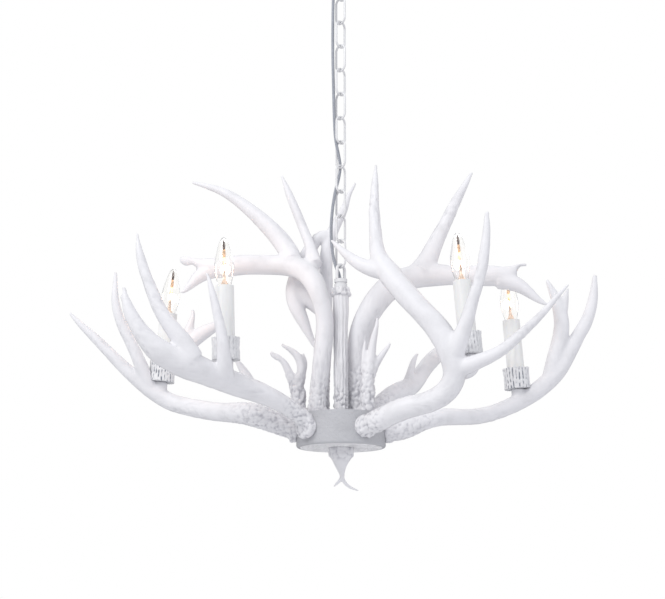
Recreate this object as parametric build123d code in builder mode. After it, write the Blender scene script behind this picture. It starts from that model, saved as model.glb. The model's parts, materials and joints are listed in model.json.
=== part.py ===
from build123d import *
from math import cos, pi, radians, sin, tan
import os

os.makedirs("parts", exist_ok=True)

# Frame: millimetres, +Z up, origin on the ceiling where the crossbar is fixed.
# The front of the fixture looks along -Y.

# ---------------------------------------------------------------- driving dimensions
# Chain
CHAIN_LINKS = 12
LINK_PITCH = 47.0  # from one link's hook point to the next
LINK_WIRE = 4.0
LINK_HALF_WIDTH = 11.0  # centre of the link to the middle of its side wire
LINK_TWIST = 45.0  # links alternate either side of the view by this angle
HANG_GAP = 0.3  # between two wires that hook into each other

# Screw-collar loops, one on the ceiling and one on the stem
LOOP_WIRE = 5.5
LOOP_HALF_WIDTH = 9.5
CEILING_LOOP_DROP = 70.0  # ceiling to the middle of the loop's lowest wire

# Canopy and its bracket
CANOPY_RADIUS = 64.0
CANOPY_HEIGHT = 28.0
CANOPY_WALL = 1.5
CANOPY_CROWN = 20.0  # flat round the thread hole
CANOPY_RIM = 5.6  # straight part of the canopy's side
COLLAR_RADIUS = 14.0  # thread that the ring nut runs on
THREAD_GAP = 0.1
HOLE_GAP = 0.3  # canopy's hole round the collar
RING_RADIUS = 19.0
RING_HEIGHT = 7.0
BAR_LENGTH = 106.0
BAR_WIDTH = 20.0
BAR_THICKNESS = 2.0
BAR_OFFSET = 9.0  # ceiling to the top of the bar's middle
BAR_MIDDLE = 34.0
SCREW_SPACING = 89.0  # outlet box screws
BOX_SCREW_RADIUS = 2.1
BOX_SCREW_HEAD = 4.5
BOX_SCREW_LENGTH = 12.0
SLOT_LENGTH = 14.0
SLOT_GAP = 1.25  # each side of the screw

# Centre tube, stem and hub
TUBE_RADIUS = 5.0
TUBE_BORE = 3.7
COLUMN_RADIUS = 12.5
COLUMN_HEIGHT = 224.0
COLUMN_FLUTES = 11
FLUTE_RADIUS = 1.8
CAP_RADIUS = 16.5
CAP_HEIGHT = 14.0
LOOP_BASE_RADIUS = 11.5
LOOP_BASE_HEIGHT = 16.0
LOOP_REACH = 27.0  # top of the loop's base to the middle of its top wire
LOOP_NECK_RADIUS = 10.0
LOOP_FLANGE = 6.4  # height of the base's upper and lower rings
FINIAL_THREAD = 12.0
HUB_RADIUS = 79.0
HUB_HEIGHT = 58.0
HUB_WALL = 6.0
HUB_EDGE = 4.0
COVER_THICKNESS = 4.0
COVER_GAP = 0.3
NUT_RADIUS = 9.0
NUT_HEIGHT = 6.0
NUT_WASHER = 1.5
BORE_GAP = 0.15
SEAT_GAP = 0.3
BORE_LEAD_IN = 2.5  # bell mouth where the cord enters a bore

# Antler fixings
SEAT_HEIGHT = 30.0  # middle of a side antler's burr above the hub's rim
BURR_THICKNESS = 12.0
BURR_FLARE = 4.0  # how far the burr stands out round the beam
BURR_EDGE = 3.0
SCREW_RADIUS = 2.5
SCREW_LENGTH = 18.0
SCREW_HEAD_RADIUS = 5.0
SCREW_HEAD_HEIGHT = 3.0
SCREW_GAP = 0.2

# Horns are lofted through sections this far apart
HORN_STEP = 22.0
HORN_MIN_STEPS = 4

# Candles
CUP_RADIUS = 24.5
CUP_HEIGHT = 40.0
CUP_FLOOR = 10.0
CUP_WAIST = 1.5
CUP_GROOVES = 16
CUP_GROOVE_RADIUS = 2.2
BOSS_RADIUS = 12.0
BOSS_HEIGHT = 6.0
SLEEVE_RADIUS = 16.0
SLEEVE_WALL = 1.2
SLEEVE_LENGTH = 119.0
SLEEVE_GAP = 0.3
SOCKET_HEIGHT = 50.0
SOCKET_BELOW_RIM = 2.0  # top of the socket under the top of the sleeve
SOCKET_CAVITY = 26.0
SOCKET_WALL = 1.0
SOCKET_POST = 16.0  # how deep the post goes into the antler
BASE_HEIGHT = 25.0
BASE_GAP = 0.3
GLASS_WALL = 0.9
GLASS_HEIGHT = 87.0  # above the sleeve
GLASS_BELLY = 36.0  # height of the widest part above the sleeve
GLASS_SHOULDER = 62.5
GLASS_RADIUS = 16.8
GLASS_SHOULDER_RADIUS = 12.4
GLASS_MOUTH = 11.2  # radius where the glass leaves the sleeve
GLASS_NECK = 10.8

# Supply cord
CORD_RADIUS = 2.8
BEND_SHARE = 0.45  # part of the shorter run that a bend may take up
LEAD_RADIUS = 1.1

# ---------------------------------------------------------------- levels
link_length = LINK_PITCH + LINK_WIRE + HANG_GAP  # between a link's two end wires' middles
loop_to_link = (LOOP_WIRE + LINK_WIRE) / 2 + HANG_GAP
first_link_top = loop_to_link - CEILING_LOOP_DROP
last_link_bottom = first_link_top - link_length - (CHAIN_LINKS - 1) * LINK_PITCH
stem_loop_top = last_link_bottom + loop_to_link
loop_base_top = stem_loop_top - LOOP_REACH
stem_cap_top = loop_base_top - LOOP_BASE_HEIGHT
hub_top = stem_cap_top - CAP_HEIGHT / 2 - COLUMN_HEIGHT
hub_rim = hub_top - HUB_HEIGHT
collar_bottom = loop_to_link + LOOP_HALF_WIDTH + LOOP_WIRE - CEILING_LOOP_DROP + HANG_GAP


def save(piece, name):
    """Label a finished piece and write it as a node of its own."""
    piece.part.label = name
    export_step(piece.part, f"parts/{name}.step")


def turned(angle):
    """The upright plane through the axis whose own x points at this angle round it."""
    across = Vector(cos(radians(angle)), sin(radians(angle)), 0)
    return Plane(origin=(0, 0, 0), x_dir=across, z_dir=across.cross(Vector(0, 0, 1)))


def disc(plane, radius):
    """A round section on a plane."""
    with BuildSketch(plane) as section:
        Circle(radius)
    return section.sketch


# ---------------------------------------------------------------- ceiling bracket
middle_z = -BAR_OFFSET
step_x = BAR_MIDDLE / 2 + BAR_OFFSET

with BuildPart() as crossbar:
    with BuildSketch(Plane.XZ.offset(-BAR_WIDTH / 2)):
        with BuildLine():
            top = [
                (-BAR_LENGTH / 2, 0),
                (-step_x, 0),
                (-BAR_MIDDLE / 2, middle_z),
                (BAR_MIDDLE / 2, middle_z),
                (step_x, 0),
                (BAR_LENGTH / 2, 0),
            ]
            Polyline(*top, *[(x, z - BAR_THICKNESS) for x, z in reversed(top)], close=True)
        make_face()
    extrude(amount=BAR_WIDTH)
    with Locations((0, 0, middle_z)):
        Hole(TUBE_RADIUS + BORE_GAP, depth=3 * BAR_THICKNESS)
    with BuildSketch(Plane.XY):
        with Locations((-SCREW_SPACING / 2, 0), (SCREW_SPACING / 2, 0)):
            SlotOverall(SLOT_LENGTH, 2 * (BOX_SCREW_RADIUS + SLOT_GAP))
    extrude(amount=-2 * BAR_THICKNESS, mode=Mode.SUBTRACT)
save(crossbar, "crossbar")

with BuildPart() as crossbar_screws:
    with BuildSketch(Plane.XY.offset(-BAR_THICKNESS)):
        with Locations((-SCREW_SPACING / 2, 0), (SCREW_SPACING / 2, 0)):
            Circle(BOX_SCREW_HEAD)
    extrude(amount=-BOX_SCREW_HEAD / 2)
    with BuildSketch(Plane.XY.offset(-BAR_THICKNESS)):
        with Locations((-SCREW_SPACING / 2, 0), (SCREW_SPACING / 2, 0)):
            Circle(BOX_SCREW_RADIUS)
    extrude(amount=BOX_SCREW_LENGTH)
save(crossbar_screws, "crossbar_screws")


def loop_wire(plane, half_width, reach):
    """A hook of wire: two straight legs from the plane's origin level joined by a half round."""
    arch = reach - half_width
    with BuildLine(plane) as path:
        Line((-half_width, 0), (-half_width, arch))
        ThreePointArc((-half_width, arch), (0, reach), (half_width, arch))
        Line((half_width, arch), (half_width, 0))
    line = path.wire()
    start = Plane(origin=line @ 0, x_dir=plane.x_dir, z_dir=plane.y_dir)
    sweep(disc(start, LOOP_WIRE / 2), path=line)


# The ceiling loop hangs upside down: nipple through the bar, threaded collar, then the loop
collar_top = -CANOPY_HEIGHT + RING_HEIGHT
with BuildPart() as ceiling_loop:
    hang = turned(-LINK_TWIST)
    loop_wire(
        Plane(origin=(0, 0, collar_bottom), x_dir=hang.x_dir, z_dir=-hang.z_dir),
        LOOP_HALF_WIDTH,
        CEILING_LOOP_DROP + collar_bottom,
    )
    with BuildSketch(Plane.XY.offset(collar_bottom)):
        Circle(COLLAR_RADIUS)
    extrude(amount=collar_top - collar_bottom)
    with BuildSketch(Plane.XY.offset(collar_top)):
        Circle(TUBE_RADIUS)
    extrude(amount=middle_z + BAR_THICKNESS - collar_top)
    with BuildSketch(Plane.XY.offset(collar_bottom)):
        Circle(TUBE_BORE)
    extrude(amount=middle_z + BAR_THICKNESS - collar_bottom, mode=Mode.SUBTRACT)
    with BuildSketch(Plane.XY.offset(collar_bottom)):
        Circle(TUBE_BORE + BORE_LEAD_IN)
    extrude(amount=BORE_LEAD_IN, taper=45, mode=Mode.SUBTRACT)
save(ceiling_loop, "ceiling_loop")

# ---------------------------------------------------------------- canopy
with BuildPart() as canopy:
    with BuildSketch(Plane.XZ):
        with BuildLine():
            outer_rim = (CANOPY_RADIUS, 0)
            shoulder = (CANOPY_RADIUS, -CANOPY_RIM)
            crown = (CANOPY_CROWN, -CANOPY_HEIGHT)
            hole = COLLAR_RADIUS + HOLE_GAP
            Line(outer_rim, shoulder)
            RadiusArc(shoulder, crown, CANOPY_RADIUS)
            Line(crown, (hole, -CANOPY_HEIGHT))
            Line((hole, -CANOPY_HEIGHT), (hole, CANOPY_WALL - CANOPY_HEIGHT))
            Line((hole, CANOPY_WALL - CANOPY_HEIGHT), (CANOPY_CROWN, CANOPY_WALL - CANOPY_HEIGHT))
            inner_shoulder = (CANOPY_RADIUS - CANOPY_WALL, -CANOPY_RIM)
            RadiusArc(
                (CANOPY_CROWN, CANOPY_WALL - CANOPY_HEIGHT), inner_shoulder, -CANOPY_RADIUS
            )
            Line(inner_shoulder, (CANOPY_RADIUS - CANOPY_WALL, 0))
            Line((CANOPY_RADIUS - CANOPY_WALL, 0), outer_rim)
        make_face()
    revolve(axis=Axis.Z)
save(canopy, "canopy")

with BuildPart() as canopy_ring:
    with BuildSketch(Plane.XY.offset(-CANOPY_HEIGHT)):
        Circle(RING_RADIUS)
        Circle(COLLAR_RADIUS + THREAD_GAP, mode=Mode.SUBTRACT)
    extrude(amount=-RING_HEIGHT)
    fillet(canopy_ring.faces().sort_by(Axis.Z)[0].outer_wire().edges(), RING_HEIGHT / 4)
save(canopy_ring, "canopy_ring")

# ---------------------------------------------------------------- chain
for number in range(1, CHAIN_LINKS + 1):
    side = turned(LINK_TWIST if number % 2 else -LINK_TWIST)
    top_z = first_link_top - (number - 1) * LINK_PITCH
    half = link_length / 2
    straight = half - LINK_HALF_WIDTH
    middle = Plane(origin=(0, 0, top_z - half), x_dir=side.x_dir, z_dir=side.z_dir)
    with BuildPart() as chain_link:
        with BuildLine(middle) as outline:
            Line((-LINK_HALF_WIDTH, 0), (-LINK_HALF_WIDTH, straight))
            ThreePointArc(
                (-LINK_HALF_WIDTH, straight), (0, half), (LINK_HALF_WIDTH, straight)
            )
            Line((LINK_HALF_WIDTH, straight), (LINK_HALF_WIDTH, -straight))
            ThreePointArc(
                (LINK_HALF_WIDTH, -straight), (0, -half), (-LINK_HALF_WIDTH, -straight)
            )
            Line((-LINK_HALF_WIDTH, -straight), (-LINK_HALF_WIDTH, 0))
        start = outline.wire() @ 0
        with BuildSketch(Plane(origin=start, x_dir=middle.x_dir, z_dir=middle.y_dir)):
            Circle(LINK_WIRE / 2)
        sweep(path=outline.wire())
    save(chain_link, f"chain_link_{number:02d}")

# ---------------------------------------------------------------- stem
last_twist = LINK_TWIST if CHAIN_LINKS % 2 == 0 else -LINK_TWIST
with BuildPart() as stem_loop:
    side = turned(last_twist)
    loop_wire(
        Plane(origin=(0, 0, loop_base_top), x_dir=side.x_dir, z_dir=side.z_dir),
        LOOP_HALF_WIDTH,
        LOOP_REACH,
    )
    with BuildSketch(Plane.XY.offset(stem_cap_top)):
        Circle(LOOP_NECK_RADIUS)
    extrude(amount=LOOP_BASE_HEIGHT)
    with BuildSketch(Plane.XY.offset(stem_cap_top)):
        Circle(LOOP_BASE_RADIUS)
    extrude(amount=LOOP_FLANGE)
    with BuildSketch(Plane.XY.offset(loop_base_top)):
        Circle(LOOP_BASE_RADIUS)
    extrude(amount=-LOOP_FLANGE)
    with BuildSketch(Plane.XY.offset(loop_base_top + LOOP_WIRE)):
        Circle(TUBE_BORE)
    extrude(amount=-LOOP_BASE_HEIGHT - LOOP_WIRE, mode=Mode.SUBTRACT)
    with BuildSketch(Plane.XY.offset(stem_cap_top)):
        Circle(TUBE_RADIUS)
    extrude(amount=LOOP_BASE_HEIGHT / 2, mode=Mode.SUBTRACT)
    with BuildSketch(Plane(origin=(0, 0, loop_base_top), z_dir=(0, 0, -1))):
        Circle(TUBE_BORE + BORE_LEAD_IN)
    extrude(amount=BORE_LEAD_IN, taper=45, mode=Mode.SUBTRACT)
save(stem_loop, "stem_loop")

column_top = hub_top + COLUMN_HEIGHT
with BuildPart() as stem_cap:
    with BuildSketch(Plane.XY.offset(stem_cap_top - CAP_HEIGHT)):
        Circle(CAP_RADIUS)
    extrude(amount=CAP_HEIGHT)
    fillet(stem_cap.edges().filter_by(GeomType.CIRCLE), CAP_HEIGHT / 5)
    with BuildSketch(Plane.XY.offset(column_top)):
        Circle(COLUMN_RADIUS + BORE_GAP)
    extrude(amount=-CAP_HEIGHT, mode=Mode.SUBTRACT)
    with BuildSketch(Plane.XY.offset(stem_cap_top)):
        Circle(TUBE_RADIUS + BORE_GAP)
    extrude(amount=-CAP_HEIGHT, mode=Mode.SUBTRACT)
save(stem_cap, "stem_cap")

with BuildPart() as stem_column:
    with BuildSketch(Plane.XY.offset(hub_top)):
        Circle(COLUMN_RADIUS)
        with PolarLocations(COLUMN_RADIUS + FLUTE_RADIUS / 2, COLUMN_FLUTES):
            Circle(FLUTE_RADIUS, mode=Mode.SUBTRACT)
        Circle(TUBE_RADIUS + BORE_GAP, mode=Mode.SUBTRACT)
    extrude(amount=COLUMN_HEIGHT)
save(stem_column, "stem_column")

with BuildPart() as stem_tube:
    with BuildSketch(Plane.XY.offset(hub_rim - FINIAL_THREAD)):
        Circle(TUBE_RADIUS)
        Circle(TUBE_BORE, mode=Mode.SUBTRACT)
    extrude(amount=stem_cap_top + LOOP_BASE_HEIGHT / 2 - hub_rim + FINIAL_THREAD)
save(stem_tube, "stem_tube")

# ---------------------------------------------------------------- antlers
# Each antler is a beam and its tines. A point is (x, y, z, radius), measured from the
# antler's seat: on the hub's side for the ones that spread, on the hub's top for the
# ones that stand. A cup is where a candle sits: its place, lean and the stalk under it.
SIDE_ANTLERS = {
    "antler_front_left": {
        "azimuth": -47,
        "beam": [
            (0, 0, 2, 16), (-30, -21, 29, 15), (-67, -44, 47, 17.1), (-114, -69, 62, 20.2),
            (-156, -100, 74, 21.2), (-200, -132, 88, 24.3), (-241, -155, 105, 20.2),
            (-271, -166, 136, 14.2), (-292, -170, 173, 10.1), (-300, -170, 209, 2.5),
        ],
        "tines": [
            [(-136, -96, 70, 15.2), (-138, -120, 101, 12.1), (-140, -127, 125, 10.1),
             (-149, -132, 171, 8.1), (-159, -134, 212, 5.6), (-167, -134, 241, 2)],
            [(-192, -135, 98, 20.2), (-205, -144, 123, 15.7), (-233, -150, 160, 12.1),
             (-258, -152, 210, 10.1), (-276, -152, 260, 8.1), (-284, -150, 306, 2)],
            [(-285, -169, 160, 8.1), (-297, -169, 181, 5.6), (-305, -169, 194, 2)],
        ],
        "cup": (-138, -72, 105),
        "lean": -2,
        "stalk": [(-137, -83, 69, 11.6)],
    },
    "antler_front_right": {
        "azimuth": 31,
        "beam": [
            (0, 0, 4, 16), (22, -20, 7, 19), (59, -44, 22, 19), (99, -62, 31, 18.1),
            (132, -77, 46, 18.7), (148, -91, 73, 19.2), (143, -98, 108, 21.2), (123, -95, 150, 20.7),
            (96, -86, 184, 19.2), (65, -71, 223, 20.2), (40, -54, 260, 19.7), (25, -40, 290, 14.7),
            (20, -30, 327, 11.1), (18, -20, 380, 9.1), (19, -14, 423, 7.1), (22, -8, 467, 2),
        ],
        "tines": [
            [(37, -53, 262, 15.2), (6, -36, 272, 13.1), (-22, -20, 292, 9.6), (-43, -7, 314, 5.6),
             (-58, 2, 331, 2)],
            [(145, -96, 96, 18.2), (154, -112, 125, 15.7), (164, -121, 150, 12.6),
             (177, -128, 192, 10.1), (192, -132, 240, 9.1), (200, -135, 288, 8.1),
             (203, -136, 320, 6.1), (203, -136, 344, 2)],
            [(148, -92, 84, 18.2), (168, -104, 88, 14.7), (191, -117, 95, 12.1),
             (221, -129, 108, 9.6), (253, -140, 133, 7.6), (286, -149, 163, 6.1),
             (312, -155, 192, 4.5), (332, -158, 213, 2)],
        ],
        "cup": (177, -56, 115),
        "lean": -4.5,
        "stalk": [(154, -92, 80, 12.1), (170, -71, 83, 12.1), (181, -58, 96, 12.1)],
    },
    "antler_left": {
        "azimuth": -90,
        "beam": [
            (-11, 0, 0, 16), (-36, 0, 14, 18.5), (-75, 3, 29, 21), (-124, 30, 37, 17.2),
            (-185, 77, 51, 16.4), (-239, 93, 68, 15.5), (-279, 90, 94, 14.5), (-327, 85, 135, 11.4),
            (-369, 80, 177, 9.3), (-401, 77, 207, 6.2), (-421, 75, 227, 2),
        ],
        "tines": [
            [(-267, 90, 87, 12.4), (-284, 77, 122, 12.4), (-300, 67, 159, 10.8),
             (-321, 59, 201, 9.8), (-334, 53, 241, 7.7), (-336, 52, 272, 5.2), (-335, 52, 299, 2)],
        ],
        "cup": (-252, 93, 102),
        "lean": 5,
        "stalk": [(-252, 93, 79, 12.4)],
    },
    "antler_right": {
        "azimuth": 90,
        "beam": [
            (15, 0, 0, 17.5), (32, 0, 6, 20), (79, 3, 22, 16), (144, 39, 30, 14.2),
            (213, 87, 49, 14.4), (269, 93, 77, 15.5), (320, 90, 122, 16.5), (358, 85, 183, 12.9),
            (377, 82, 216, 11.4), (389, 80, 254, 9.3), (393, 80, 281, 6.2), (394, 80, 302, 2),
        ],
        "tines": [
            [(306, 91, 104, 14.5), (320, 85, 157, 15), (329, 80, 198, 14.5), (327, 77, 231, 12.9),
             (318, 75, 259, 9.3), (310, 74, 277, 5.2), (304, 74, 290, 2)],
            [(328, 77, 226, 12.4), (337, 76, 255, 7.2), (342, 76, 274, 2)],
        ],
        "cup": (247, 93, 89),
        "lean": -4,
        "stalk": [(247, 93, 68, 12.4)],
    },
    "antler_back_left": {
        "azimuth": -145,
        "beam": [
            (0, 0, 4, 14), (-40, 28, 44, 13), (-103, 96, 88, 14.2), (-163, 145, 118, 14.3),
            (-217, 167, 144, 13.3), (-254, 183, 177, 13.3), (-256, 191, 207, 13.3),
            (-252, 192, 232, 9.7), (-247, 193, 256, 5.1), (-247, 193, 273, 2),
        ],
        "tines": [
            [(-252, 190, 199, 13.3), (-237, 192, 217, 15.3), (-219, 192, 229, 13.3),
             (-203, 192, 238, 10.2), (-183, 193, 250, 5.6), (-172, 193, 258, 2)],
            [(-123, 118, 105, 11.2), (-135, 121, 131, 9.2), (-148, 115, 151, 5.6),
             (-157, 110, 164, 2)],
        ],
    },
    "antler_back_right": {
        "azimuth": 145,
        "beam": [
            (0, 0, 4, 14), (21, 21, 50, 17), (58, 59, 86, 18.1), (90, 91, 107, 17.2),
            (108, 111, 131, 15.2), (129, 127, 159, 14.7), (155, 147, 183, 14.2),
            (190, 187, 204, 12.7), (220, 230, 216, 7.6), (237, 260, 220, 2),
        ],
        "tines": [
            [(77, 78, 99, 12.1), (87, 83, 130, 7.6), (93, 85, 152, 5.1), (100, 85, 165, 2)],
        ],
    },
}
TOP_ANTLERS = {
    "antler_upper_left": {
        "place": (-42, -5),
        "beam": [
            (0, 0, 3, 16.5), (3, -3, 53, 15), (11, -7, 124, 16.5), (13, -10, 173, 15.5),
            (6, -13, 205, 16.5), (-13, 0, 250, 19.6), (-45, 23, 275, 19.3), (-91, 35, 281, 17.9),
            (-149, 27, 278, 18.4), (-189, 23, 273, 18.4), (-207, 21, 277, 13.3),
            (-222, 20, 283, 8.2), (-238, 19, 285, 4.6), (-251, 19, 286, 2),
        ],
        "tines": [
            [(-192, 22, 268, 15.4), (-206, 21, 262, 13.8), (-220, 20, 251, 10.7),
             (-233, 19, 237, 6.7), (-246, 19, 225, 2)],
            [(-45, 23, 283, 18.3), (-66, 43, 326, 17.4), (-98, 47, 363, 14.8), (-136, 53, 398, 11.3),
             (-180, 59, 428, 7.7), (-211, 63, 440, 5.1), (-236, 65, 447, 2)],
            [(-4, 5, 274, 12.1), (-13, 35, 314, 9.7), (-26, 55, 352, 8.7), (-41, 60, 391, 8.2),
             (-56, 65, 429, 6.6), (-68, 67, 461, 2)],
        ],
    },
    "antler_upper_right": {
        "place": (29, 24),
        "beam": [
            (0, 0, 3, 18), (0, 0, 58, 18.5), (0, -1, 110, 18.5), (8, -7, 157, 20),
            (30, -16, 200, 22), (62, -5, 238, 23.2), (99, 11, 258, 21.4), (138, 15, 264, 21),
            (182, 9, 262, 17.4), (244, 3, 260, 19.4), (269, 0, 261, 15.9), (289, -1, 271, 8.2),
            (300, -1, 276, 4.6), (309, -1, 279, 2),
        ],
        "tines": [
            [(258, 1, 252, 16.4), (279, -1, 247, 15.4), (299, -3, 238, 12.3), (316, -5, 224, 8.7),
             (331, -6, 212, 5.6), (343, -7, 204, 2)],
            [(115, 14, 263, 25.5), (125, 19, 280, 21.5), (136, 19, 304, 16.9), (150, 20, 334, 13.8),
             (167, 23, 368, 11.3), (184, 25, 404, 9.7), (202, 27, 437, 6.7), (216, 28, 463, 2)],
        ],
    },
    "antler_upper_back": {
        "place": (-34, 35),
        "beam": [
            (0, 0, 3, 15), (0, 7, 70, 14), (4, 13, 135, 14), (5, 19, 198, 13), (7, 25, 250, 12.5),
            (7, 30, 295, 12), (12, 34, 332, 12), (24, 38, 366, 10), (40, 41, 398, 7.5),
            (48, 42, 422, 5), (62, 43, 450, 2),
        ],
        "tines": [
            [(12, 34, 330, 11), (-5, 34, 342, 11), (-21, 32, 322, 12), (-34, 29, 293, 16),
             (-45, 27, 262, 18), (-51, 26, 236, 16.5), (-48, 24, 212, 14.5), (-39, 22, 190, 12.5),
             (-29, 19, 168, 9), (-20, 17, 148, 6), (-11, 15, 130, 2)],
            [(-46, 27, 247, 17), (-32, 28, 236, 20), (-13, 25, 218, 19), (3, 20, 198, 13)],
        ],
    },
    "antler_small_left": {
        "place": (-63, 20),
        "beam": [
            (0, 0, 3, 11.5), (-13, 0, 33, 13), (-17, -2, 55, 12.5), (-27, -5, 72, 8),
            (-34, -7, 88, 6.5), (-42, -9, 100, 5.5), (-52, -10, 107, 4), (-63, -12, 112, 2),
        ],
        "tines": [
            [(-14, -2, 51, 11), (-9, -4, 73, 9), (-8, -6, 92, 8), (-17, -8, 110, 6.5),
             (-31, -10, 122, 4.5), (-43, -12, 127, 2)],
            [(-7, -5, 80, 7), (-2, -3, 98, 4.5), (-5, -2, 112, 2)],
        ],
    },
    "antler_small_right": {
        "place": (47, -22),
        "beam": [
            (0, 0, 3, 12), (0, -2, 33, 13), (1, -4, 64, 11.5), (6, -7, 91, 8), (8, -9, 114, 7),
            (13, -11, 140, 5.5), (17, -13, 167, 2),
        ],
        "tines": [
            [(-1, -4, 58, 8), (-6, -6, 91, 5.5), (-4, -8, 128, 2)],
            [(3, -4, 60, 9), (17, -4, 91, 6.5), (31, -5, 111, 4.5), (40, -5, 123, 2)],
        ],
    },
}


def horn(points):
    """Loft one tapering horn along the smooth line through its points, and join it on."""
    centres = [Vector(*point[:3]) for point in points]
    with BuildLine(mode=Mode.PRIVATE) as path:
        Spline(*centres)
    line = path.edge()
    marks = [0, *[line.param_at_point(centre) for centre in centres[1:-1]], 1]
    steps = max(round(line.length / HORN_STEP), HORN_MIN_STEPS)
    across = (line % 0).cross(Vector(0, 1, 0))
    sections = []
    for step in range(steps + 1):
        here = step / steps
        after = next(i for i in range(1, len(marks)) if here <= marks[i] + 1e-9)
        share = (here - marks[after - 1]) / (marks[after] - marks[after - 1])
        radius = points[after - 1][3] * (1 - share) + points[after][3] * share
        run = line % here
        across = (across - run * across.dot(run)).normalized()
        sections.append(disc(Plane(origin=line @ here, x_dir=across, z_dir=run), radius))
    loft(sections)


def foot_ring(seat, outward, radius, sunk):
    """The knobbly ring at an antler's foot, rounded on its outer edge."""
    with BuildPart(mode=Mode.PRIVATE) as ring:
        foot = Plane(origin=seat - outward * sunk, z_dir=outward)
        extrude(disc(foot, radius), amount=BURR_THICKNESS + sunk)
        fillet(ring.edges().group_by(Axis(seat, outward))[-1], BURR_EDGE)
    return ring.part


def at(seat, point):
    """A point of an antler in the fixture's frame."""
    return (seat.X + point[0], seat.Y + point[1], seat.Z + point[2], point[3])


def candle_plane(seat, antler):
    """The plane that a candle's cup stands on, its z along the leaning candle."""
    lean = radians(antler["lean"])
    place = seat + Vector(*antler["cup"])
    return Plane(origin=place, x_dir=(cos(lean), 0, -sin(lean)), z_dir=(sin(lean), 0, cos(lean)))


def antler_body(seat, outward, antler):
    """Join the beam, tines and candle stalk of one antler inside the open part."""
    beam = [at(seat, point) for point in antler["beam"]]
    root = beam[0][3]
    inner = seat - outward * BURR_THICKNESS
    horn([(inner.X, inner.Y, beam[0][2] - outward.Z * BURR_THICKNESS, root), *beam[1:]])
    for tine in antler["tines"]:
        horn([at(seat, point) for point in tine])
    if "cup" in antler:
        plane = candle_plane(seat, antler)
        foot = plane.origin - plane.z_dir * BOSS_HEIGHT
        stalk = [at(seat, point) for point in antler["stalk"]]
        deep = foot - plane.z_dir * BOSS_HEIGHT
        horn([*stalk, (deep.X, deep.Y, deep.Z, BOSS_RADIUS)])
        boss = Plane(origin=deep, x_dir=plane.x_dir, z_dir=plane.z_dir)
        extrude(disc(boss, BOSS_RADIUS), amount=2 * BOSS_HEIGHT)
        extrude(disc(plane, TUBE_RADIUS + BORE_GAP), amount=-SOCKET_POST, mode=Mode.SUBTRACT)
        extrude(disc(plane, CUP_RADIUS + SEAT_GAP), amount=CUP_HEIGHT, mode=Mode.SUBTRACT)


screws = []  # (plane of the screw's head, pointing into the antler)
cups = {}
pilot = SCREW_RADIUS + BORE_GAP

for name, antler in SIDE_ANTLERS.items():
    azimuth = radians(antler["azimuth"])
    outward = Vector(sin(azimuth), -cos(azimuth), 0)
    seat = outward * HUB_RADIUS + Vector(0, 0, hub_rim + SEAT_HEIGHT)
    head = Plane(origin=seat - outward * (HUB_WALL + SCREW_GAP), z_dir=outward)
    burr_radius = antler["beam"][0][3] + BURR_FLARE
    with BuildPart() as piece:
        antler_body(seat, outward, antler)
        add(foot_ring(seat, outward, burr_radius, burr_radius / 4))
        with BuildSketch(Plane.XY.offset(hub_rim - HUB_HEIGHT)):
            Circle(HUB_RADIUS)
        extrude(amount=3 * HUB_HEIGHT, mode=Mode.SUBTRACT)
        with BuildSketch(head):
            Circle(pilot)
        extrude(amount=SCREW_LENGTH + SCREW_GAP, mode=Mode.SUBTRACT)
    save(piece, name)
    screws.append(head)
    if "cup" in antler:
        cups[name.replace("antler_", "")] = candle_plane(seat, antler)

for name, antler in TOP_ANTLERS.items():
    outward = Vector(0, 0, 1)
    seat = Vector(*antler["place"], hub_top)
    head = Plane(origin=seat - outward * (HUB_WALL + SCREW_GAP), z_dir=outward)
    burr_radius = antler["beam"][0][3] + BURR_FLARE / 2
    with BuildPart() as piece:
        antler_body(seat, outward, antler)
        add(foot_ring(seat, outward, burr_radius, 0))
        with BuildSketch(Plane.XY.offset(hub_top)):
            Circle(HUB_RADIUS)
        extrude(amount=-HUB_HEIGHT, mode=Mode.SUBTRACT)
        with BuildSketch(head):
            Circle(pilot)
        extrude(amount=SCREW_LENGTH + SCREW_GAP, mode=Mode.SUBTRACT)
    save(piece, name)
    screws.append(head)

# ---------------------------------------------------------------- hub
with BuildPart() as hub_drum:
    with BuildSketch(Plane.XY.offset(hub_rim)):
        Circle(HUB_RADIUS)
    extrude(amount=HUB_HEIGHT)
    fillet(hub_drum.edges().filter_by(GeomType.CIRCLE).sort_by(Axis.Z)[0], HUB_EDGE)
    with BuildSketch(Plane.XY.offset(hub_rim)):
        Circle(HUB_RADIUS - HUB_WALL)
    extrude(amount=HUB_HEIGHT - HUB_WALL, mode=Mode.SUBTRACT)
    with BuildSketch(Plane.XY.offset(hub_top)):
        Circle(TUBE_RADIUS + BORE_GAP)
    extrude(amount=-2 * HUB_WALL, mode=Mode.SUBTRACT)
    for head in screws:
        with BuildSketch(head):
            Circle(SCREW_RADIUS + SCREW_GAP)
        extrude(amount=2 * HUB_WALL, mode=Mode.SUBTRACT)
save(hub_drum, "hub_drum")

with BuildPart() as antler_screws:
    for head in screws:
        with BuildSketch(head):
            Circle(SCREW_HEAD_RADIUS)
        extrude(amount=-SCREW_HEAD_HEIGHT)
        with BuildSketch(head):
            Circle(SCREW_RADIUS)
        extrude(amount=SCREW_LENGTH)
save(antler_screws, "antler_screws")

with BuildPart() as hub_nut:
    under = hub_top - HUB_WALL
    with BuildSketch(Plane.XY.offset(under)):
        Circle(NUT_RADIUS + NUT_WASHER)
    extrude(amount=-NUT_WASHER)
    with BuildSketch(Plane.XY.offset(under - NUT_WASHER)):
        RegularPolygon(NUT_RADIUS, 6)
    extrude(amount=-NUT_HEIGHT)
    with BuildSketch(Plane.XY.offset(under)):
        Circle(TUBE_RADIUS)
    extrude(amount=-2 * NUT_HEIGHT, mode=Mode.SUBTRACT)
save(hub_nut, "hub_nut")

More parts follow.
